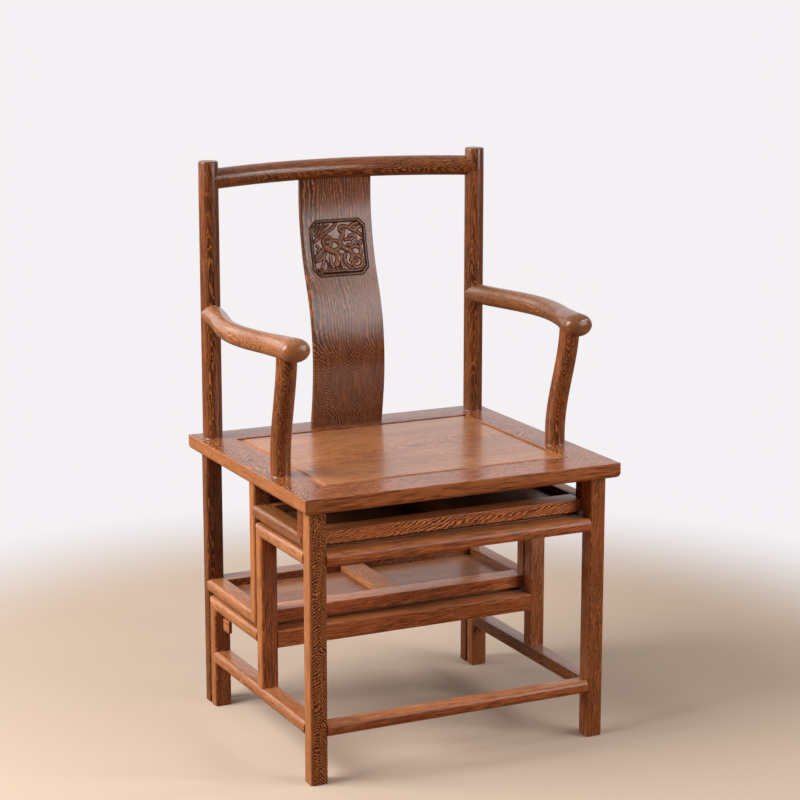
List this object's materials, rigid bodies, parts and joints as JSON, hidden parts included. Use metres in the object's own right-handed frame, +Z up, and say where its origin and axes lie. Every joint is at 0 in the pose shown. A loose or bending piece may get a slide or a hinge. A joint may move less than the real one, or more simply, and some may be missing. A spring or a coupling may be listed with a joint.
{
  "type": "ladder chair",
  "caption": "Hardwood official's hat armchair with a carved splat; its seat and back swing over the front legs and stand as the second side of a step ladder.",
  "frame": {"origin": "centre of the chair's outline, on the floor", "axes": "+X across to the right seen from the front, +Y from the front legs to the back, +Z up"},
  "size_m": [0.613, 0.5304, 0.96],
  "materials": {
    "frame_wood": "satin lacquer over dark striped hardwood",
    "panel_wood": "satin lacquer over feather-grained hardwood",
    "splat_wood": "satin lacquer, carved medallion",
    "inner_wood": "oiled hardwood",
    "brass": "brushed"
  },
  "bodies": {
    "front_steps": {"fixed_lower_step_batten": "inner_wood", "fixed_lower_step_front_rail": "frame_wood", "fixed_lower_step_panel": "panel_wood", "fixed_lower_step_rear_rail": "frame_wood", "fixed_lower_step_side_rail_left": "frame_wood", "fixed_lower_step_side_rail_right": "frame_wood", "fixed_middle_post_left": "frame_wood", "fixed_middle_post_right": "frame_wood", "fixed_rear_foot_left": "frame_wood", "fixed_rear_foot_right": "frame_wood", "fixed_upper_step_batten": "inner_wood", "fixed_upper_step_front_rail": "frame_wood", "fixed_upper_step_panel": "panel_wood", "fixed_upper_step_rear_rail": "frame_wood", "fixed_upper_step_side_rail_left": "frame_wood", "fixed_upper_step_side_rail_right": "frame_wood", "front_leg_left": "frame_wood", "front_leg_right": "frame_wood", "front_stretcher": "frame_wood", "hinge_fixed_bodies": "brass", "seat_front_corner_left": "frame_wood", "seat_front_corner_right": "frame_wood", "seat_front_rail": "frame_wood", "side_stretcher_left": "frame_wood", "side_stretcher_right": "frame_wood", "stop_blocks": "inner_wood"},
    "seat_and_back": {"arm_left": "frame_wood", "arm_post_left": "frame_wood", "arm_post_right": "frame_wood", "arm_right": "frame_wood", "back_post_left": "frame_wood", "back_post_right": "frame_wood", "back_splat": "splat_wood", "crest_rail": "frame_wood", "hinge_swing_bodies": "brass", "seat_batten": "inner_wood", "seat_hinge_rail": "frame_wood", "seat_panel": "panel_wood", "seat_rear_rail": "frame_wood", "seat_side_rail_left": "frame_wood", "seat_side_rail_right": "frame_wood", "short_post_left": "frame_wood", "short_post_right": "frame_wood", "swing_apron": "frame_wood", "swing_lower_step_batten": "inner_wood", "swing_lower_step_front_rail": "frame_wood", "swing_lower_step_panel": "panel_wood", "swing_lower_step_rear_rail": "frame_wood", "swing_lower_step_side_rail_left": "frame_wood", "swing_lower_step_side_rail_right": "frame_wood", "swing_middle_post_left": "frame_wood", "swing_middle_post_right": "frame_wood", "swing_upper_step_batten": "inner_wood", "swing_upper_step_front_rail": "frame_wood", "swing_upper_step_panel": "panel_wood", "swing_upper_step_rear_rail": "frame_wood", "swing_upper_step_side_rail_left": "frame_wood", "swing_upper_step_side_rail_right": "frame_wood"}
  },
  "joints": [
    {"name": "ladder_fold", "type": "hinge", "parent": "front_steps", "child": "seat_and_back", "pos_m": [0, -0.21725, 0.48015], "axis": [1, 0, 0], "range_deg": [0, 180]}
  ]
}
